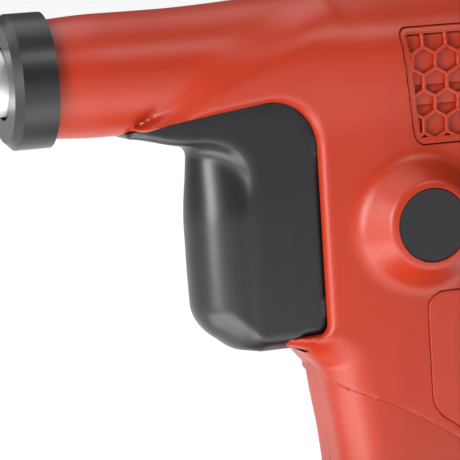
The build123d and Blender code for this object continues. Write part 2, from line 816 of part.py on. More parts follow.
def make_valve_ball():
    return Pos(valve_x(), 0, barrel_z) * Sphere(valve_radius)


def make_valve_spring():
    start = nozzle_seat_x - 13
    return coil(1.5, 0.45, 9, (start, 0, barrel_z), (1, 0, 0), valve_x() - 1.35 - start)


def make_boot():
    """The silicone boot over the nozzle and its hexagon."""
    gap = 0.15
    front = nozzle_tip_x + 5
    outer = cone_x(nozzle_tip_radius + 2.9, front, nozzle_hex_radius + boot_wall, nozzle_seat_x - 5)
    outer = outer + rod_x(nozzle_hex_radius + boot_wall, nozzle_seat_x - 5, chamber_front_x + 1)
    inner = nozzle_cone(gap) + rod_x(nozzle_hex_radius + gap, nozzle_seat_x - 6, nozzle_seat_x)
    inner = inner + rod_x(chamber_radius, chamber_front_x, chamber_front_x + 3)
    return outer - inner


def make_front_collar():
    """The black collar that clamps the front of both halves and shields the hot end."""
    rear = barrel_front_x + collar_overlap
    front = rear - collar_length
    collar = rod_x(collar_radius, front + 2, rear) + cone_x(collar_radius - 2, front, collar_radius, front + 2)
    seat = barrel_radius + button_clearance
    collar = collar - rod_x(seat, barrel_front_x, rear + 1)
    return collar - rod_x(collar_hole_radius, front - 1, rear) - rod_x(seat - 3, front + 3, rear)


# ---------------------------------------------------------------- button, switch and board

def make_button():
    """The round push button on the left side, with its flange and stem."""
    button = rod_y(button_radius, button_face_y, button_flange_y, button_x, button_z)
    button = button + rod_y(button_flange_radius, button_flange_y, button_flange_y + 1.6, button_x, button_z)
    return button + rod_y(button_stem_radius, button_flange_y, switch_front_y - 0.2, button_x, button_z)


def make_button_spring():
    start = (button_x, button_flange_y + 1.6, button_z)
    return coil(5.2, 0.6, 3, start, (0, 1, 0), 4.2)


def make_plunger():
    return rod_y(1.6, switch_front_y - 0.2, switch_front_y + 5.0, button_x, button_z)


def make_switch():
    """The latching switch on the board, with the bore for its plunger."""
    r = switch_size / 2
    body = block((button_x - r, switch_front_y + 2.2, button_z - r), (button_x + r, board_y, button_z + r))
    return body - rod_y(1.75, switch_front_y, board_y - 0.3 + 1.0, button_x, button_z)


def make_board():
    board = block((-3.4, board_y, 117.5), (17.4, board_y + board_thickness, 141.0))
    chip = block((5.5, board_y + board_thickness, 124.0), (12.0, board_y + board_thickness + 1.4, 130.0))
    socket = block((6.0, board_y - 5.0, 119.0), (11.0, board_y, 131.0))
    return board + chip + socket


# ---------------------------------------------------------------- battery

def battery_box(z0, z1, inset):
    plan = rounded_plan(-battery_length / 2 + inset, battery_length / 2 - inset, battery_width / 2 - inset,
                        battery_corner - inset, z0)
    return extrude(plan, amount=z1 - z0, dir=(0, 0, 1))


def make_battery_lower():
    tray = battery_box(0, battery_split, 0) - battery_box(battery_wall, battery_split + 1, battery_wall)
    return tray + battery_columns(battery_wall - 0.5, battery_split) - battery_screw_holes()


def battery_screw_places():
    return [(x, y) for x in (-51.0, 51.0) for y in (-29.5, 29.5)]


def battery_columns(z0, z1):
    columns = Part()
    for x, y in battery_screw_places():
        columns = columns + Pos(x, y, (z0 + z1) / 2) * Cylinder(3.6, z1 - z0)
    return columns


def battery_screw_holes():
    holes = Part()
    for x, y in battery_screw_places():
        holes = holes + Pos(x, y, 15) * Cylinder(screw_radius + screw_clearance, 46)
        holes = holes + Pos(x, y, 0) * Cylinder(screw_head_radius + 0.2, 6)
    return holes


def make_battery_screws():
    screws = []
    for x, y in battery_screw_places():
        shank = Pos(x, y, 19) * Cylinder(screw_radius, 32)
        screws.append(shank + Pos(x, y, 1.8) * Cylinder(screw_head_radius, 2.4))
    return screws


def make_battery_upper():
    """The upper case: roof, T-shaped rails, latch tower and the slots for the blades."""
    roof = battery_height - battery_wall
    case = battery_box(battery_split, battery_height, 0) - battery_box(battery_split - 1, roof, battery_wall)
    case = case + battery_columns(battery_split, roof + 0.5)
    rear = foot_front_x + rail_length
    stem_top = battery_height + rail_stem_height
    case = case + block((foot_front_x - 1, -rail_stem_half_width, roof), (rear, rail_stem_half_width, stem_top))
    case = case + block((foot_front_x - 1, -rail_half_width, stem_top), (rear, rail_half_width, rail_top))
    front = -battery_length / 2
    tower = rounded_plan(front, foot_front_x - rail_clearance, battery_width / 2 - 4, 3.0, roof)
    case = case + extrude(tower, amount=tower_height + battery_wall, dir=(0, 0, 1))
    case = case - battery_screw_holes() - latch_room()
    for y in blade_ys:
        case = case - block((rear - blade_length, y - 1.3, stem_top - 3), (rear + 1, y + 1.3, rail_top + 1))
    return case


def latch_room():
    front = -battery_length / 2
    pocket = block((front - 1, -latch_half_width - latch_gap, battery_height - 1),
                   (front + 5, latch_half_width + latch_gap, battery_height + 11.5))
    arm_low = rail_top - 2.2 - latch_travel - latch_gap
    arm = block((front + 4, -latch_arm_half_width - latch_gap, arm_low),
                (foot_front_x + 8, latch_arm_half_width + latch_gap, rail_top + 1))
    return pocket + arm


def make_latch():
    """The sliding latch: a thumb button on the front and an arm with the catch."""
    front = -battery_length / 2
    thumb = block((front - 0.6, -latch_half_width, battery_height + 3.2),
                  (front + 4.6, latch_half_width, battery_height + 11.2))
    arm = block((front + 4, -latch_arm_half_width, rail_top - 2.2),
                (foot_front_x + 7.4, latch_arm_half_width, rail_top))
    catch = block((foot_front_x + 3.5, -latch_arm_half_width, rail_top - 0.5),
                  (foot_front_x + 6.5, latch_arm_half_width, rail_top + 0.2))
    return thumb + arm + catch


def make_latch_springs():
    front = -battery_length / 2
    springs = []
    for y in (-5.5, 5.5):
        springs.append(coil(1.9, 0.5, 3, (front + 2.2, y, battery_height - 1), (0, 0, 1), 4.2))
    return springs


def make_cells():
    cells = []
    pitch = 2 * cell_radius + battery_floor_gap
    for i in range(cell_count):
        x = (i - (cell_count - 1) / 2) * pitch
        z = battery_wall + battery_floor_gap + cell_radius
        cells.append(rod_y(cell_radius, -cell_length / 2, cell_length / 2, x, z))
    return cells


def make_contacts():
    """Pairs of leaf contacts in the slots, on either side of each blade."""
    contacts = []
    rear = foot_front_x + rail_length
    low = battery_height + rail_stem_height - 3
    for y in blade_ys:
        for side in BOTH:
            y0, y1 = sorted((y + side * 0.6, y + side * (0.6 + leaf_thickness)))
            contacts.append(block((rear - 14, y0, low), (rear - 5, y1, rail_top - 0.8)))
    return contacts


def make_terminal_block():
    rear = foot_front_x + rail_length
    return block((rear + 0.4, -16.6, battery_height + 2.4), (rear + 8.2, 16.6, rail_top + rail_clearance))


def make_blades():
    rear = foot_front_x + rail_length
    low = battery_height + rail_stem_height - 2.4
    half_blade = blade_thickness / 2
    return [block((rear - 14.5, y - half_blade, low), (rear + 0.4, y + half_blade, rail_top - 0.6)) for y in blade_ys]


# ---------------------------------------------------------------- the parts

def main():
    os.makedirs("parts", exist_ok=True)
    shell = make_housing()
    write("left_housing", [half(shell, -1)])
    write("right_housing", [half(shell, 1)])
    write("housing_screws", make_screws())
    write("left_vent_panel", [make_vent_panel(-1)])
    write("right_vent_panel", [make_vent_panel(1)])
    write("palm_pad", [pad_skin(0, pad_proud)])
    write("trigger", [make_trigger()])
    write("trigger_spring", [make_trigger_spring()])
    write("feed_lever", [make_lever()])
    write("lever_pivot_pin", [make_pivot_pin()])
    write("stick_guide", [make_guide()])
    write("feed_carriage", [make_carriage()])
    write("gripper_jaw", [make_jaw()])
    write("jaw_pin", [make_jaw_pin()])
    write("jaw_spring", [make_jaw_spring()])
    write("inlet_collar", [make_inlet_collar()])
    write("inlet_sleeve", [make_sleeve()])
    write("melt_chamber", [make_chamber()])
    write("heater_plates", make_heaters())
    write("heater_band", [make_heater_band()])
    write("thermal_fuse", [make_fuse()])
    write("chamber_rings", make_rings())
    write("nozzle", [make_nozzle()])
    write("valve_ball", [make_valve_ball()])
    write("valve_spring", [make_valve_spring()])
    write("nozzle_boot", [make_boot()])
    write("front_collar", [make_front_collar()])
    write("power_button", [make_button()])
    write("button_spring", [make_button_spring()])
    write("switch_plunger", [make_plunger()])
    write("power_switch", [make_switch()])
    write("control_board", [make_board()])
    write("battery_case_lower", [make_battery_lower()])
    write("battery_case_upper", [make_battery_upper()])
    write("battery_screws", make_battery_screws())
    write("battery_cells", make_cells())
    write("battery_contacts", make_contacts())
    write("battery_latch", [make_latch()])
    write("latch_springs", make_latch_springs())
    write("terminal_block", [make_terminal_block()])
    write("terminal_blades", make_blades())


main()
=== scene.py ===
"""Looks of the cordless glue gun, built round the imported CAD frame. The forms are in millimetres."""
import json
import math
from functools import reduce

import bpy
import numpy as np
from mathutils import Matrix, Vector


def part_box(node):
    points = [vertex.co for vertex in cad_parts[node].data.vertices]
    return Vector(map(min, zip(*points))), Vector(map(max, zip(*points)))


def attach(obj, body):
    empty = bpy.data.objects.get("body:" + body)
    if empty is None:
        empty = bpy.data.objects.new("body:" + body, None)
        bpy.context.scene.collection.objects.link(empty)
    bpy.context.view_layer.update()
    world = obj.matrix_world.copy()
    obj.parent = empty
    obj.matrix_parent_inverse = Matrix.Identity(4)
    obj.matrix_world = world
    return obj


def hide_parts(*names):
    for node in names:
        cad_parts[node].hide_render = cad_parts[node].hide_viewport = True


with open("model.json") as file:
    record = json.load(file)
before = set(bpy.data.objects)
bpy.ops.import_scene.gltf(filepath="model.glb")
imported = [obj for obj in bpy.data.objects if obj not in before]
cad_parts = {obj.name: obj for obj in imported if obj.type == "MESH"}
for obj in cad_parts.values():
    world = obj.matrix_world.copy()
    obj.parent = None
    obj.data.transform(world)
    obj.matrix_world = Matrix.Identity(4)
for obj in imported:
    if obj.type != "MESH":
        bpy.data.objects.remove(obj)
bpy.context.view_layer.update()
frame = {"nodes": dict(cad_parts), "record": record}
MM = 0.001


def box_mm(node):
    """A CAD node's lowest and highest corners in millimetres."""
    low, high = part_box(node)
    return np.array(low) / MM, np.array(high) / MM


# ------------------------------------------------------------------ places read from the frame

BARREL_Z = float(sum(box_mm("inlet_collar")[i][2] for i in (0, 1)) / 2)
BUTTON_LOW, BUTTON_HIGH = box_mm("power_button")
BUTTON_X = float((BUTTON_LOW[0] + BUTTON_HIGH[0]) / 2)
BUTTON_Z = float((BUTTON_LOW[2] + BUTTON_HIGH[2]) / 2)

# ------------------------------------------------------------------ form sizes

WALL = 2.4                      # of the housing
BARREL_R = 15.9
BARREL_FRONT_X = -99.0
BODY_REAR_X = 43.0
GRIP_TOP_Z = 108                # where the lower grip's form ends inside the body
OPENING_REAR_X = -25.9          # the trigger opening
OPENING_FRONT_X = -75.4
OPENING_BOTTOM_Z = 110.0
OPENING_SLOPE = 0.130
OPENING_REAR_ROUND = 14.5
OPENING_LOW_ROUND = 3.4
CHEEK_Y = 13.4                  # half-width of the trigger's cheeks
TRIGGER_REAR_X = -24.7
BOSS_RIM_R = 11.4               # the cone about the button
BOSS_BASE_R = 17.7
BOSS_Y = 25.6
BOSS_BASE_Y = 18.0
FOOT_LOW_Z = 41.4
FOOT_TOP_Z = 61.5
FOOT_CORNER = 12.0
SIDE_PARTS_Y = 10.0             # vents, boss and their pockets lie outside this
VENT_DEPTH = 1.55               # the pockets of the vent panels and of the pad
PAD_DEPTH = 1.1
HEX_X, HEX_Z = -0.4, 174.3      # the centre of one honeycomb cell
HEX_PITCH, HEX_ROW, HEX_HALF = 6.5, 5.63, 2.75
SCREWS = ((-38.8, 192.7), (35.5, 165.6), (13.0, 151.0), (13.0, 108.0), (-19.5, 102.0),
          (-12.0, 70.0), (9.0, 70.0))
POST_R, POST_FROM_Y = 4.4, 5.0
SCREW_WELL_R, SCREW_WELL_FROM_Y = 3.1, 7.0
BUTTON_WEB = (12.3, -17.8, -14.2)                                       # radius, then Y from and to
BUTTON_BORES = ((9.75, -40, -21.9), (11.1, -21.9, -15.8), (3.2, -17.8, -10))
HOLLOW_LOW_Z, HOLLOW_REAR_X = 53.0, 40.6
NOTCH_WALL, NOTCH_WALL_FROM_X = 1.2, -52.0
RAIL_REAR_X = 45.9              # the battery's rail channel in the foot
INLET_BORE = (9.1, 38, 50)


# ------------------------------------------------------------------ distance fields

def smin(a, b, k):
    """Smooth union of two fields, blended over k."""
    h = np.clip(0.5 + 0.5 * (b - a) / k, 0, 1)
    return b + (a - b) * h - k * h * (1 - h)


def round_max(a, b, r):
    """Intersection of two fields with a true round of radius r between them."""
    u, v = np.maximum(a + r, 0), np.maximum(b + r, 0)
    return np.minimum(np.maximum(a, b), -r) + np.hypot(u, v)


def overlap(*fields):
    """What all the forms share."""
    return reduce(np.maximum, fields)


def cut(form, tool):
    """A form with another taken out of it."""
    return np.maximum(form, -tool)


def band(value, middle, half):
    """The stretch within half of middle."""
    return np.abs(value - middle) - half


def round_corner(u, v, radius):
    """Two sides that meet in a rounded corner, from the distance past each side's rounding."""
    return np.hypot(np.maximum(u, 0), np.maximum(v, 0)) + np.minimum(np.maximum(u, v), 0) - radius


def ramp(x, x0, x1):
    """0 before x0, 1 after x1, smooth between."""
    t = np.clip((x - x0) / (x1 - x0), 0, 1)
    return t * t * (3 - 2 * t)


def polygon(x, z, points):
    """Signed distance to a closed outline, negative inside."""
    px, pz = np.array(points, dtype=float).T
    best = np.full(x.shape, 1e9)
    inside = np.zeros(x.shape, dtype=bool)
    count = len(px)
    for i in range(count):
        ax, az, bx, bz = px[i], pz[i], px[(i + 1) % count], pz[(i + 1) % count]
        ex, ez = bx - ax, bz - az
        t = np.clip(((x - ax) * ex + (z - az) * ez) / (ex * ex + ez * ez), 0, 1)
        best = np.minimum(best, (x - ax - t * ex) ** 2 + (z - az - t * ez) ** 2)
        crosses = (az > z) != (bz > z)
        if bz != az:
            inside ^= crosses & (x < (bx - ax) * (z - az) / (bz - az) + ax)
    return np.where(inside, -1, 1) * np.sqrt(best)


def rounded_box(p, low, high, radius):
    """A box with all its edges rounded."""
    low, high = np.array(low, dtype=float), np.array(high, dtype=float)
    q = np.abs(p - (low + high) / 2) - (high - low) / 2 + radius
    return np.linalg.norm(np.maximum(q, 0), axis=-1) + np.minimum(q.max(axis=-1), 0) - radius


def rod(p, axis, centre, radius, start, end):
    """A cylinder along one axis."""
    others = [i for i in range(3) if i != axis]
    r = np.hypot(p[..., others[0]] - centre[0], p[..., others[1]] - centre[1]) - radius
    along = np.abs(p[..., axis] - (start + end) / 2) - abs(end - start) / 2
    return np.maximum(r, along)


# ------------------------------------------------------------------ from field to mesh

def contour(field, low, high, step):
    """Dual contouring: sharp and smooth stretches of a field both come out as they are."""
    axes = [np.arange(a, b + step, step) for a, b in zip(low, high)]
    shape = tuple(len(a) for a in axes)
    values = np.empty(shape)
    for i, x in enumerate(axes[0]):
        y, z = np.meshgrid(axes[1], axes[2], indexing="ij")
        values[i] = field(np.stack([np.full_like(y, x), y, z], axis=-1))
    origin = np.array([a[0] for a in axes])
    cells = tuple(n - 1 for n in shape)
    total = cells[0] * cells[1] * cells[2]
    sums = np.zeros((total, 13))
    quads = []
    for axis in range(3):
        first = [slice(None)] * 3
        second = [slice(None)] * 3
        first[axis], second[axis] = slice(0, -1), slice(1, None)
        a, b = values[tuple(first)], values[tuple(second)]
        crossing = (a < 0) != (b < 0)
        for other in range(3):
            if other != axis:
                edge = [slice(None)] * 3
                edge[other] = 0
                crossing[tuple(edge)] = False
                edge[other] = -1
                crossing[tuple(edge)] = False
        index = np.argwhere(crossing)
        fa, fb = a[crossing], b[crossing]
        start = origin + index * step
        unit = np.zeros(3)
        unit[axis] = step
        t0, t1, v0, v1 = np.zeros(len(fa)), np.ones(len(fa)), fa.copy(), fb.copy()
        for _ in range(3):
            t = np.clip(t0 + (t1 - t0) * v0 / (v0 - v1), 0, 1)
            v = field(start + t[:, None] * unit)
            same = (v < 0) == (v0 < 0)
            t0, v0 = np.where(same, t, t0), np.where(same, v, v0)
            t1, v1 = np.where(same, t1, t), np.where(same, v1, v)
        t = np.where(np.abs(v0) < np.abs(v1), t0, t1)
        point = start + t[:, None] * unit
        normal = gradient(field, point)
        dot = (normal * point).sum(axis=1)
        u, w = (axis + 1) % 3, (axis + 2) % 3
        corners = []
        for du, dw in ((0, 0), (-1, 0), (-1, -1), (0, -1)):
            cell = index.copy()
            cell[:, u] += du
            cell[:, w] += dw
            flat = (cell[:, 0] * cells[1] + cell[:, 1]) * cells[2] + cell[:, 2]
            corners.append(flat)
            rows = np.column_stack([
                normal[:, 0] ** 2, normal[:, 0] * normal[:, 1], normal[:, 0] * normal[:, 2],
                normal[:, 1] ** 2, normal[:, 1] * normal[:, 2], normal[:, 2] ** 2,
                normal * dot[:, None], point, np.ones(len(dot))])
            for column in range(13):
                sums[:, column] += np.bincount(flat, weights=rows[:, column], minlength=total)
        corners = np.column_stack(corners)
        corners[fb < 0] = corners[fb < 0][:, ::-1]
        quads.append(corners)
    quads = np.concatenate(quads)
    used = np.unique(quads)
    s = sums[used]
    mass = s[:, 9:12] / s[:, 12:13]
    matrix = np.empty((len(used), 3, 3))
    for n, (i, j) in enumerate(((0, 0), (0, 1), (0, 2), (1, 1), (1, 2), (2, 2))):
        matrix[:, i, j] = s[:, n]
        matrix[:, j, i] = s[:, n]
    keep = 0.05
    matrix += keep * np.eye(3)
    right = s[:, 6:9] + keep * mass
    place = np.linalg.solve(matrix, right[..., None])[..., 0]
    cell = np.stack(np.unravel_index(used, cells), axis=1)
    base = origin + cell * step
    place = np.clip(place, base - 0.25 * step, base + 1.25 * step)
    return place, np.searchsorted(used, quads)


def gradient(field, point, size=0.02):
    """The field's unit normal at each point."""
    parts = []
    for axis in range(3):
        shift = np.zeros(3)
        shift[axis] = size
        parts.append(field(point + shift) - field(point - shift))
    normal = np.stack(parts, axis=1)
    return normal / np.maximum(np.linalg.norm(normal, axis=1, keepdims=True), 1e-9)


def add_piece(name, field, low, high, steps, body, node, material, angle=40.0):
    """Contour a field in millimetres into a piece that rides on a body and stands for a CAD node."""
    vertices, faces = contour(field, low, high, steps[1])
    piece = mesh_piece(name, vertices * MM, faces, angle)
    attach(piece, body)
    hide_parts(node)
    dress(piece, material)


def mesh_piece(name, vertices, faces, angle=32.0):
    """A smooth-shaded object whose edges are sharp above an angle in degrees."""
    mesh = bpy.data.meshes.new(name)
    mesh.from_pydata([tuple(v) for v in vertices], [], [tuple(int(i) for i in f) for f in faces])
    mesh.update()
    mesh.validate()
    mesh.shade_smooth()
    mesh.set_sharp_from_angle(angle=math.radians(angle))
    obj = bpy.data.objects.new(name, mesh)
    bpy.context.scene.collection.objects.link(obj)
    return obj


# ------------------------------------------------------------------ the housing's form

def plan_width(x):
    """Half-width of the body in plan, widest at the button and drawn in behind it."""
    return np.interp(x, (-90, -76, -60, -38, -26.7, -8, 14, 31, 44),
                     (14.5, 15.8, 16.3, 16.4, 16.5, 18.2, 18.2, 16.2, 12.5))


def trigger_plan(x):
    """Half-width of the trigger in plan: its wing narrows to the front."""
    return np.interp(x, (-76, -70, -60, -50, -43), (6.6, 9.4, 12.0, 13.2, 13.4))


def body_width(x, z):
    """Half-width of the flat side, a little wider up by the barrel."""
    return plan_width(x) + 0.5 * ramp(z, 140, 185) * ramp(x, -30, 0)


def barrel_radius(x):
    """The barrel's radius along its length."""
    return BARREL_R + 2.5 * ramp(x, -66, -8) - 0.9 * ramp(-x, 80, 100) - 4.0 * ramp(x, 22, 46)


# Side view of the body, from the front of the barrel's underside round the rear to the handle and the lip
FLANK = [(-73.5, 168.3), (-20.0, 193.0), (28.0, 194.0), (42.5, 184.0), (42.5, 169.0), (30.0, 150.0),
         (22.8, 132.0), (19.4, 112.0), (18.4, 98.0), (19.0, 84.0), (19.6, 40.0), (-19.5, 40.0),
         (-23.6, 81.4), (-25.2, 91.5), (-26.2, 99.9), (-29.6, 104.0), (-31.2, 105.5), (-34.0, 106.5),
         (-38.0, 107.9), (-42.0, 109.6), (-42.0, 115.0), (-66.0, 120.0), (-66.0, 166.0), (-73.5, 167.6)]


def notch_top(x, z):
    """Height above the trigger opening's sloping upper edge, which meets the barrel's underside in front."""
    rise = (z - 167.45) - OPENING_SLOPE * (x + 76.5) + 1.6 * ramp(-x, 64, 76)
    return rise / math.hypot(1, OPENING_SLOPE)


def notch_field(x, z):
    """The trigger opening in the side view: a big rear corner above, a small one below."""
    corner = round_max(notch_top(x, z), x - OPENING_REAR_X, OPENING_REAR_ROUND)
    return np.maximum(round_max(corner, OPENING_BOTTOM_Z - z, OPENING_LOW_ROUND), -(x - OPENING_FRONT_X))


def seam_height(x, y):
    """Height of the step between the body and the lower grip."""
    side = np.clip(np.abs(y) / 15.0, 0, 1)
    line = 96.6 - 0.30 * (x + 26.5) - 0.0062 * np.maximum(x + 26.5, 0) ** 2
    return line + 4.6 * (1 - side) * ramp(-x, -10, 26)


def outer_field(p):
    """The housing's outer surface, without openings."""
    x, y, z = p[..., 0], p[..., 1], p[..., 2]
    barrel = np.hypot(y, z - BARREL_Z) - barrel_radius(x)
    edge = 11.0 - 7.0 * ramp(z, 104, 116) * ramp(-x, 15, 30)
    flank = round_max(polygon(x, z, FLANK), np.abs(y) - body_width(x, z), edge)
    upper = smin(barrel, flank, 0.5 + 8.5 * ramp(x, -76, -52))
    upper = round_max(np.maximum(upper, -(x - BARREL_FRONT_X)), x - BODY_REAR_X, 3.0)
    body = round_max(upper, seam_height(x, y) - z, 0.6)
    grip = upper + (0.7 + 1.5 * ramp(x, -20, 14))
    lower = np.maximum(smin(grip, foot_field(p), 12.0), z - GRIP_TOP_Z)
    return np.minimum(body, lower)


def foot_field(p):
    """The flared foot over the battery."""
    x, y, z = p[..., 0], p[..., 1], p[..., 2]
    t = np.clip((z - 41.3) / 20.0, 0, 1)
    front = -46.5 + 2.0 * t + 13.0 * t ** 3
    rear = 59.0 - 2.5 * t - 16.0 * t ** 3
    half = 37.5 - 3.0 * t - 13.0 * t ** 3
    along = np.abs(x - (front + rear) / 2) - (rear - front) / 2 + FOOT_CORNER
    plan = round_corner(along, np.abs(y) - half + FOOT_CORNER, FOOT_CORNER)
    return np.maximum(round_max(plan * 0.8, z - FOOT_TOP_Z, 6.0), FOOT_LOW_Z - z)


def boss_field(p):
    """The raised cone about the button, on the left."""
    x, y, z = p[..., 0], p[..., 1], p[..., 2]
    depth = -y
    slope = (BOSS_BASE_R - BOSS_RIM_R) / (BOSS_Y - BOSS_BASE_Y)
    r = np.hypot(x - BUTTON_X, z - BUTTON_Z)
    cone = (r - BOSS_RIM_R - slope * (BOSS_Y - depth)) / math.hypot(1, slope)
    return np.maximum(round_max(cone, depth - BOSS_Y, 0.8), SIDE_PARTS_Y - depth)


def vent_field(x, z, grow):
    """Side view of the honeycomb panel's place."""
    front = (-3.9 - x) + 0.135 * (189 - z)
    rear = x - 31.5
    return round_max(round_max(front, rear, 3.0), np.maximum(158.0 - z, z - 189.0), 2.6) - grow


def pad_field(x, z, grow):
    """Side view of the soft pad's place on the back of the handle."""
    front = 1.0 - x
    seam = seam_height(x, np.full_like(x, 15.0)) + 3.4 - z
    return round_max(round_max(front, z - 119.0, 5.0), seam, 4.0) - grow


def trigger_channel(x, ay, z):
    """The room inside the housing that the trigger and the lower part of its nose slide in."""
    room = overlap(ay - 13.8, 110.2 - z, z - 173.4, x + 5.9, notch_top(x, z) - 0.9, -56.0 - x)
    nose = overlap(ay - 9.6, band(z, 108.1, 2.9), -44 - x, x + 9)
    return np.minimum(room, nose)


def rail_channel(x, ay, z):
    """The T-shaped channel in the foot for the battery's rails."""
    return np.minimum(overlap(band(z, 45.45, 4.15), ay - 23.9, x - RAIL_REAR_X),
                      overlap(ay - 19.9, z - 46, x - RAIL_REAR_X))


def with_button_seat(shell, p):
    """The web behind the button, with the button's bores and the plunger's hole."""
    centre = (BUTTON_X, BUTTON_Z)
    shell = np.minimum(shell, rod(p, 1, centre, *BUTTON_WEB))
    for bore in BUTTON_BORES:
        shell = cut(shell, rod(p, 1, centre, *bore))
    return shell


def with_screw_posts(shell, outer, p):
    """A post for each screw, with the well for its head."""
    x, y, z = p[..., 0], p[..., 1], p[..., 2]
    for screw_x, screw_z in SCREWS:
        r = np.hypot(x - screw_x, z - screw_z)
        shell = np.minimum(shell, overlap(r - POST_R, outer + 0.5, POST_FROM_Y - y))
        shell = cut(shell, overlap(r - SCREW_WELL_R, SCREW_WELL_FROM_Y - y))
    return shell


def housing_field(p, side):
    """One half of the housing; side is -1 for the left half and 1 for the right."""
    x, y, z = p[..., 0], p[..., 1], p[..., 2]
    ay = np.abs(y)
    outer = outer_field(p)
    skin = smin(outer, boss_field(p), 2.2) if side < 0 else outer
    vent = overlap(vent_field(x, z, 0.2), SIDE_PARTS_Y - ay, -(outer + VENT_DEPTH))
    skin = round_max(skin, -vent, 0.35)
    skin = round_max(skin, -overlap(pad_field(x, z, 0.15), -(outer + PAD_DEPTH)), 0.4)
    notch = notch_field(x, z)
    skin = round_max(skin, -notch, 0.6 + 1.6 * ramp(x, -66, -52))
    notch_wall = np.minimum(NOTCH_WALL - notch, x - NOTCH_WALL_FROM_X)
    shell = cut(skin, overlap(outer + WALL, HOLLOW_LOW_Z - z, x - HOLLOW_REAR_X, notch_wall))
    shell = with_button_seat(shell, p) if side < 0 else with_screw_posts(shell, outer, p)
    shell = cut(shell, trigger_channel(x, ay, z))
    shell = cut(shell, rail_channel(x, ay, z))
    shell = cut(shell, rod(p, 0, (0, BARREL_Z), *INLET_BORE))
    return round_max(shell, -side * y, 0.28)


def make_housings():
    """Both halves of the housing."""
    for side, node in ((-1, "left_housing"), (1, "right_housing")):
        low = [-100.4, -40.0 if side < 0 else -1.3, 39.9]
        high = [61.0, 1.3 if side < 0 else 40.0, 202.5]
        add_piece(node + "_shell", lambda p, s=side: housing_field(p, s), low, high, (1.6, 0.9),
                  "body", node, ORANGE, angle=32.0)


def hexagons(x, z, pitch, row):
    """Distance to the nearest cell centre of a honeycomb, measured across the flats."""
    best = np.full(x.shape, 1e9)
    base_row = np.round((z - HEX_Z) / row)
    for step in (-1, 0, 1):
        r = base_row + step
        offset = np.where(np.mod(r, 2) == 0, 0.0, pitch / 2)
        dz = z - HEX_Z - r * row
        dx = x - HEX_X - offset
        dx = dx - np.round(dx / pitch) * pitch
        ax, az = np.abs(dx), np.abs(dz)
        best = np.minimum(best, np.maximum(ax, 0.5 * ax + 0.8660254 * az))
    return best


def vent_panel_field(p):
    """A honeycomb grille that follows the body's side, with a plain rim."""
    x, y, z = p[..., 0], p[..., 1], p[..., 2]
    outer = outer_field(p)
    plate = np.maximum(round_max(vent_field(x, z, -0.05), outer + 0.45, 0.35), -(outer + 1.5))
    cells = hexagons(x, z, HEX_PITCH, HEX_ROW) - HEX_HALF
    plate = round_max(plate, -overlap(cells, vent_field(x, z, -1.9), -(outer + 3.0)), 0.35)
    return np.maximum(plate, SIDE_PARTS_Y - np.abs(y))


def make_vent_panels():
    """The honeycomb panel on each side."""
    for side, node in ((-1, "left_vent_panel"), (1, "right_vent_panel")):
        low = [-5.0, -20.5 if side < 0 else 10.0, 156.0]
        high = [33.0, -10.0 if side < 0 else 20.5, 191.0]
        add_piece(node + "_grille", vent_panel_field, low, high, (0.6, 0.34),
                  "body", node, ORANGE)


def palm_pad_field(p):
    """The soft pad that wraps the back of the handle, a little proud of the housing."""
    x, y, z = p[..., 0], p[..., 1], p[..., 2]
    outer = outer_field(p)
    pad = round_max(pad_field(x, z, -0.1), outer - 0.35, 0.45)
    pad = np.maximum(pad, -(outer + 1.05))
    rib = np.abs(np.mod(z - 84.0, 5.2) - 2.6) - 2.15
    groove = overlap(-rib, band(z, 102.0, 13.5), 12.0 - x, -(outer + 0.15))
    pad = round_max(pad, -groove, 0.2)
    screw_hole = np.maximum(np.hypot(x - 13.0, z - 108.0) - 3.5, -y)
    return cut(pad, screw_hole)


def make_palm_pad():
    """The pad on the back of the handle."""
    add_piece("palm_pad_skin", palm_pad_field, [0.0, -20.0, 74.0], [26.0, 20.0, 121.0], (1.2, 0.55),
              "body", "palm_pad", ORANGE_SOFT)


# ------------------------------------------------------------------ the battery's form

_, BATTERY_HIGH = box_mm("battery_case_lower")
BATTERY_HALF_X = float(BATTERY_HIGH[0])
BATTERY_HALF_Y = float(BATTERY_HIGH[1])
SPLIT_Z = float(BATTERY_HIGH[2])
ROOF_Z = 41.0
RAIL_Z = 49.2
BATTERY_CORNER = 9.0
CASE_WALL = 2.2
BATTERY_SCREWS = [(x, y) for x in (-51.0, 51.0) for y in (-29.5, 29.5)]
SCREW_HEAD_R, SCREW_HEAD_DEPTH = 3.2, 1.4
RAIL_FRONT_X, RAIL_END_X = -47.5, 45.5


def case_plan(x, y, inset):
    """Plan of the battery: a rectangle with round corners."""
    corner = BATTERY_CORNER - inset
    return round_corner(np.abs(x) - BATTERY_HALF_X + inset + corner,
                        np.abs(y) - BATTERY_HALF_Y + inset + corner, corner)


def grip_ribs(p, low, high):
    """Finger ribs let into the long sides of the battery."""
    x, y, z = p[..., 0], p[..., 1], p[..., 2]
    wave = np.abs(np.mod(x, 5.2) - 2.6) - 1.45
    return overlap(band(x, 2.0, 26.0), low - z, z - high, wave, BATTERY_HALF_Y - 0.9 - np.abs(y))


def battery_lower_field(p):
    """The lower case: a tray with a well for each screw's head."""
    x, y, z = p[..., 0], p[..., 1], p[..., 2]
    case = round_max(round_max(case_plan(x, y, 0.0), -z, 2.2), z - SPLIT_Z, 0.45)
    case = round_max(case, -grip_ribs(p, 9.0, SPLIT_Z + 5.0), 0.3)
    case = cut(case, overlap(case_plan(x, y, CASE_WALL), CASE_WALL - z))
    for screw_x, screw_y in BATTERY_SCREWS:
        head = np.hypot(x - screw_x, y - screw_y) - SCREW_HEAD_R
        case = cut(case, np.maximum(head, z - SCREW_HEAD_DEPTH))
    return case


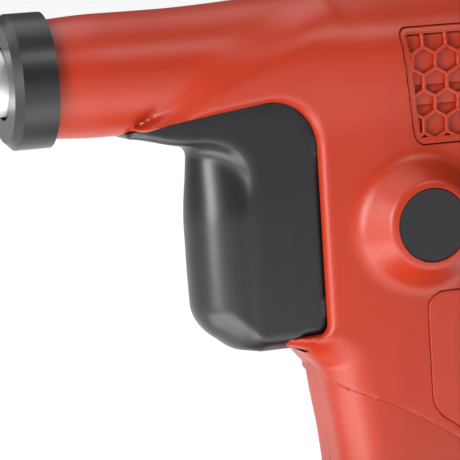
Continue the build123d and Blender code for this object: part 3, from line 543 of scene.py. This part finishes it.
def battery_upper_field(p):
    """The upper case: its roof, the tower of the latch, the T-shaped rails and the slots for the blades."""
    x, y, z = p[..., 0], p[..., 1], p[..., 2]
    ay = np.abs(y)
    case = round_max(round_max(case_plan(x, y, 0.0), z - ROOF_Z, 1.6), SPLIT_Z - z, 0.45)
    case = round_max(case, -grip_ribs(p, SPLIT_Z - 5.0, 36.5), 0.3)
    case = cut(case, overlap(case_plan(x, y, CASE_WALL), z - ROOF_Z + CASE_WALL))
    tower = rounded_box(p, (-BATTERY_HALF_X, -33.5, 30.0), (-46.85, 33.5, 54.0), 2.2)
    tower = np.maximum(tower, ROOF_Z - CASE_WALL - z)
    stem = rounded_box(p, (RAIL_FRONT_X, -19.5, 39.0), (RAIL_END_X, 19.5, 47.0), 0.3)
    flange = rounded_box(p, (RAIL_FRONT_X, -23.5, 45.2), (RAIL_END_X, 23.5, RAIL_Z), 0.5)
    case = reduce(np.minimum, (case, tower, stem, flange))
    latch_pocket = overlap(x + 54.0, ay - 9.3, 40.0 - z, z - 52.5)
    case = round_max(case, -latch_pocket, 0.4)
    case = cut(case, overlap(x + 38.5, ay - 5.3, 44.2 - z, band(x, -47.0, 8.6), z - 50.2))
    blade_slots = np.abs(np.mod(y + 16.0, 8.0) - 4.0) - 1.3
    return cut(case, overlap(blade_slots, ay - 13.4, 28.5 - x, 42.2 - z))


def make_battery():
    """Both parts of the battery's case."""
    for node, field, low, high in (("battery_case_lower", battery_lower_field, -1.2, SPLIT_Z + 1.2),
                                   ("battery_case_upper", battery_upper_field, SPLIT_Z - 1.2, 55.2)):
        reach_x, reach_y = BATTERY_HALF_X + 1, BATTERY_HALF_Y + 1
        add_piece(node + "_shell", field, [-reach_x, -reach_y, low], [reach_x, reach_y, high], (1.6, 0.85),
                  "battery", node, BLACK_MATT)


# ------------------------------------------------------------------ the trigger's form

NOSE_DEPTH = 15.5
NOSE_POWER = 2.2


def nose_front(z):
    """X of the finger nose's front at each height."""
    return -58.6 + 1.6 * ramp(z, 140, 163) + 0.4 * ramp(z, 132, 108)


def trigger_nose(x, ay, z):
    """The rounded finger nose: a superellipse in plan, rounded off at its foot."""
    half = 10.0 + 2.7 * ramp(z, 163, 142)
    u = (nose_front(z) + NOSE_DEPTH - x) / NOSE_DEPTH
    v = ay / half
    bulge = ((np.maximum(u, 0) ** NOSE_POWER + v ** NOSE_POWER) ** (1 / NOSE_POWER) - 1) * half * 0.9
    nose = round_max(bulge, 106.9 - z, 13.0 - 7.5 * ramp(x, -53, -42))
    return np.maximum(round_max(nose, z - 166.0, 2.0), x + 34.0)


def trigger_field(p):
    """The trigger's skin: flat cheeks with a wing above, and a rounded nose that runs out of them."""
    x, y, z = p[..., 0], p[..., 1], p[..., 2]
    ay = np.abs(y)
    wing_low = 162.6 - 0.4 * ramp(x, -62, -50) + 2.7 * ramp(-x, 60, 75) - z
    wing = round_max(wing_low, -74.6 - x, 1.0)
    cheek = round_max(round_max(-43.5 - x, 110.25 - z, 2.0), x - TRIGGER_REAR_X, 3.4)
    slab = round_max(smin(cheek, wing, 14.0), ay - trigger_plan(x), 2.2)
    slab = overlap(slab, notch_top(x, z) - 0.5, z - 171.95, x - TRIGGER_REAR_X)
    form = smin(slab, trigger_nose(x, ay, z), 3.5)
    form = round_max(form, ay - CHEEK_Y, 0.8)
    belly = rounded_box(p, (-44.0, -8.8, 107.3), (-27.6, 8.8, 117.0), 2.0)
    form = np.maximum(smin(form, belly, 2.0), ay - CHEEK_Y)
    room = ay - 8.0 - 3.2 * ramp(x, -41, -37)
    hollow = overlap(room, 113 - z, -47.0 - x, np.minimum(z - 157.0, 200 - z))
    open_top = overlap(room, 150 - z, -45.5 - x)
    return cut(form, np.minimum(hollow, open_top))


def trigger_with_tongue(p):
    """The trigger with its rails, its drive tongue and its spring seat."""
    x, y, z = p[..., 0], p[..., 1], p[..., 2]
    ay = np.abs(y)
    form = trigger_field(p)
    for low in (115.0, 157.5):
        rail = overlap(band(ay, 12.3, 1.1), np.abs(z - low - 2.5) - 2.5, band(x, -13.9, 12.9))
        form = np.minimum(form, rail)
    tongue = overlap(ay - 3.3, band(z, 147.7, 4.5), band(x, -34.0, 17.3))
    slot = overlap(band(x, -21.7, 2.8), z - 149.9)
    form = np.minimum(form, cut(tongue, slot))
    seat = rod(p, 0, (0, 125.5), 5.0, -56, -48.8)
    return np.minimum(form, seat)


def make_trigger():
    """The finger trigger."""
    add_piece("finger_trigger", trigger_with_tongue, [-76.6, -14.6, 104.6], [1.6, 14.6, 174.6], (1.0, 0.62),
              "trigger", "trigger", BLACK)


# ------------------------------------------------------------------ materials

def node_tree(name):
    """A material with a shader and nothing else."""
    material = bpy.data.materials.new(name)
    material.use_nodes = True
    tree = material.node_tree
    tree.nodes.clear()
    output = tree.nodes.new("ShaderNodeOutputMaterial")
    shader = tree.nodes.new("ShaderNodeBsdfPrincipled")
    tree.links.new(shader.outputs["BSDF"], output.inputs["Surface"])
    return material, tree, shader


def noise(tree, scale, detail=3.0, rough=0.5):
    """Noise in the object's own coordinates, so it stays put when a piece moves."""
    coordinates = tree.nodes.new("ShaderNodeTexCoord")
    texture = tree.nodes.new("ShaderNodeTexNoise")
    texture.inputs["Scale"].default_value = scale
    texture.inputs["Detail"].default_value = detail
    texture.inputs["Roughness"].default_value = rough
    tree.links.new(coordinates.outputs["Object"], texture.inputs["Vector"])
    return texture


def ranged(tree, source, low, high):
    """A value from 0 to 1, spread from low to high."""
    span = tree.nodes.new("ShaderNodeMapRange")
    span.inputs["To Min"].default_value = low
    span.inputs["To Max"].default_value = high
    tree.links.new(source, span.inputs["Value"])
    return span.outputs["Result"]


def mixed(tree, factor, first, second):
    """A colour between two, by a factor."""
    mix = tree.nodes.new("ShaderNodeMix")
    mix.data_type = "RGBA"
    tree.links.new(factor, mix.inputs[0])
    mix.inputs[6].default_value = (*first, 1)
    mix.inputs[7].default_value = (*second, 1)
    return mix.outputs[2]


DRIFT_SCALE = 25.0


def surface(name, first, second, rough_low, rough_high, metallic=0.0, grain=900.0, bump=0.02, specular=0.5,
            bump_distance=0.0002):
    """A plain finish with slow colour drift, fine roughness change and a moulded or machined grain."""
    material, tree, shader = node_tree(name)
    drift = noise(tree, DRIFT_SCALE, 2.0)
    tree.links.new(mixed(tree, drift.outputs["Fac"], first, second), shader.inputs["Base Color"])
    fine = noise(tree, grain * 0.25, 4.0, 0.6)
    tree.links.new(ranged(tree, fine.outputs["Fac"], rough_low, rough_high), shader.inputs["Roughness"])
    shader.inputs["Metallic"].default_value = metallic
    shader.inputs["Specular IOR Level"].default_value = specular
    grained = noise(tree, grain, 2.0, 0.5)
    bumps = tree.nodes.new("ShaderNodeBump")
    bumps.inputs["Strength"].default_value = bump
    bumps.inputs["Distance"].default_value = bump_distance
    tree.links.new(grained.outputs["Fac"], bumps.inputs["Height"])
    tree.links.new(bumps.outputs["Normal"], shader.inputs["Normal"])
    return material


ORANGE = surface("orange_moulded", (0.212, 0.0125, 0.0016), (0.232, 0.0147, 0.0021), 0.34, 0.42,
                 grain=2600, bump=0.10, specular=0.32, bump_distance=0.00005)
ORANGE_SOFT = surface("orange_soft_touch", (0.215, 0.0135, 0.0018), (0.235, 0.0155, 0.0024), 0.50, 0.62,
                      grain=2200, bump=0.25, specular=0.35, bump_distance=0.00006)
BLACK = surface("black_moulded", (0.0055, 0.0055, 0.0066), (0.0075, 0.0075, 0.0086), 0.30, 0.37,
                grain=2600, bump=0.16, specular=0.34, bump_distance=0.00005)
BLACK_MATT = surface("black_textured", (0.016, 0.016, 0.018), (0.024, 0.024, 0.026), 0.50, 0.62,
                     grain=1400, bump=0.5, specular=0.4, bump_distance=0.0001)
SILICONE = surface("grey_silicone", (0.030, 0.030, 0.033), (0.040, 0.040, 0.043), 0.55, 0.68,
                   grain=900, bump=0.2, specular=0.35)
WHITE = surface("natural_nylon", (0.62, 0.60, 0.55), (0.68, 0.66, 0.61), 0.40, 0.52, grain=1200, bump=0.15)
STEEL = surface("bright_steel", (0.55, 0.55, 0.57), (0.62, 0.62, 0.64), 0.22, 0.36,
                metallic=1.0, grain=1800, bump=0.1)
SPRING = surface("spring_wire", (0.34, 0.34, 0.36), (0.42, 0.42, 0.44), 0.26, 0.40,
                 metallic=1.0, grain=1800, bump=0.1)
ALUMINIUM = surface("cast_aluminium", (0.60, 0.60, 0.62), (0.68, 0.68, 0.70), 0.34, 0.52,
                    metallic=1.0, grain=900, bump=0.3)
BRASS = surface("turned_brass", (0.58, 0.38, 0.12), (0.66, 0.45, 0.16), 0.20, 0.36,
                metallic=1.0, grain=1500, bump=0.12)
COPPER = surface("tinned_copper", (0.62, 0.36, 0.20), (0.70, 0.44, 0.26), 0.22, 0.36,
                 metallic=1.0, grain=1500, bump=0.1)
CERAMIC = surface("white_ceramic", (0.66, 0.64, 0.58), (0.72, 0.70, 0.64), 0.50, 0.62, grain=1200, bump=0.2)
BOARD = surface("green_board", (0.012, 0.120, 0.045), (0.016, 0.150, 0.058), 0.30, 0.42, grain=1500, bump=0.1)
CELL = surface("cell_sleeve", (0.03, 0.17, 0.34), (0.04, 0.20, 0.40), 0.30, 0.42, grain=900, bump=0.08)

BY_SLOT = {
    "orange_shell": ORANGE, "orange_rubber": ORANGE_SOFT, "black_plastic": BLACK, "white_plastic": WHITE,
    "steel": STEEL, "spring_steel": SPRING, "silicone": SILICONE, "aluminium": ALUMINIUM,
    "ceramic": CERAMIC, "brass": BRASS, "copper": COPPER, "board": BOARD, "cell": CELL}


def dress(obj, material):
    """Give an object one material."""
    obj.data.materials.clear()
    obj.data.materials.append(material)


# ------------------------------------------------------------------ camera, light and floor

PIXEL = 0.26                    # millimetres across one pixel at the aim
FRAME_PIXELS = 460
SENSOR = 36.0
LENS = 180.0
AZIMUTH, ELEVATION, ROLL = math.radians(-18.0), math.radians(7.0), math.radians(3.7)
AIM = Vector((-49.12, -7.952, 139.632)) * MM


def make_camera():
    """A long lens from the left, a little above and rolled a little."""
    back = Vector((math.sin(AZIMUTH) * math.cos(ELEVATION), -math.cos(AZIMUTH) * math.cos(ELEVATION),
                   math.sin(ELEVATION)))
    right0 = Vector((0, 0, 1)).cross(back).normalized()
    up0 = back.cross(right0)
    right = right0 * math.cos(ROLL) - up0 * math.sin(ROLL)
    up = back.cross(right)
    data = bpy.data.cameras.new("camera")
    data.lens = LENS
    data.sensor_width = SENSOR
    data.clip_start = 0.01
    distance = FRAME_PIXELS * PIXEL * MM * LENS / SENSOR
    camera = bpy.data.objects.new("camera", data)
    rotation = Matrix((right, up, back)).transposed().to_4x4()
    camera.matrix_world = Matrix.Translation(AIM + back * distance) @ rotation
    bpy.context.scene.collection.objects.link(camera)
    bpy.context.scene.camera = camera


def area_light(name, place, target, size, power):
    """A soft rectangular light that the camera doesn't see."""
    data = bpy.data.lights.new(name, "AREA")
    data.shape = "RECTANGLE"
    data.size, data.size_y = size
    data.energy = power
    light = bpy.data.objects.new(name, data)
    light.location = place
    light.rotation_euler = (Vector(target) - Vector(place)).to_track_quat("-Z", "Y").to_euler()
    light.visible_camera = False
    bpy.context.scene.collection.objects.link(light)


def make_floor():
    """A plain pale floor."""
    size = 40.0
    corners = [(-size, -size, 0), (size, -size, 0), (size, size, 0), (-size, size, 0)]
    floor = mesh_piece("floor", corners, [(0, 1, 2, 3)])
    material, tree, shader = node_tree("white_floor")
    tone = noise(tree, 2.0).outputs["Fac"]
    colour = mixed(tree, tone, (0.86, 0.86, 0.86), (0.90, 0.90, 0.90))
    tree.links.new(colour, shader.inputs["Base Color"])
    shader.inputs["Roughness"].default_value = 0.9
    dress(floor, material)


def make_lights():
    """A dim sky, a broad overhead light, a tall soft one to the left and three small fills."""
    world = bpy.data.worlds.new("studio")
    world.use_nodes = True
    background = world.node_tree.nodes["Background"]
    background.inputs["Color"].default_value = (1.0, 1.0, 1.0, 1)
    background.inputs["Strength"].default_value = 0.16
    bpy.context.scene.world = world
    bpy.context.scene.view_settings.view_transform = "Standard"
    sun = bpy.data.lights.new("overhead", "SUN")
    sun.energy = 3.2
    sun.angle = math.radians(70)
    overhead = bpy.data.objects.new("overhead", sun)
    overhead.rotation_euler = (math.radians(-12), math.radians(-18), 0)
    bpy.context.scene.collection.objects.link(overhead)
    area_light("left_soft", (-1.22, -0.68, 0.38), (-0.03, 0, 0.14), (0.45, 1.2), 40)
    area_light("left_floor_card", (-0.19, -0.09, 0.004), (-0.19, -0.09, 1.0), (0.16, 0.22), 0.7)
    area_light("front_floor_card", (-0.02, -0.15, 0.004), (-0.02, -0.15, 1.0), (0.5, 0.16), 0.55)
    area_light("top_front_soft", (0.38, -0.92, 1.05), (-0.03, 0, 0.16), (0.5, 0.35), 5.5)


# ------------------------------------------------------------------ put together

for record in frame["record"]["subparts"]:
    node_object = frame["nodes"].get(record["node"])
    if node_object is not None:
        dress(node_object, BY_SLOT[record["material_slot"]])

make_housings()
make_trigger()
make_vent_panels()
make_palm_pad()
make_battery()
make_floor()
make_lights()
make_camera()
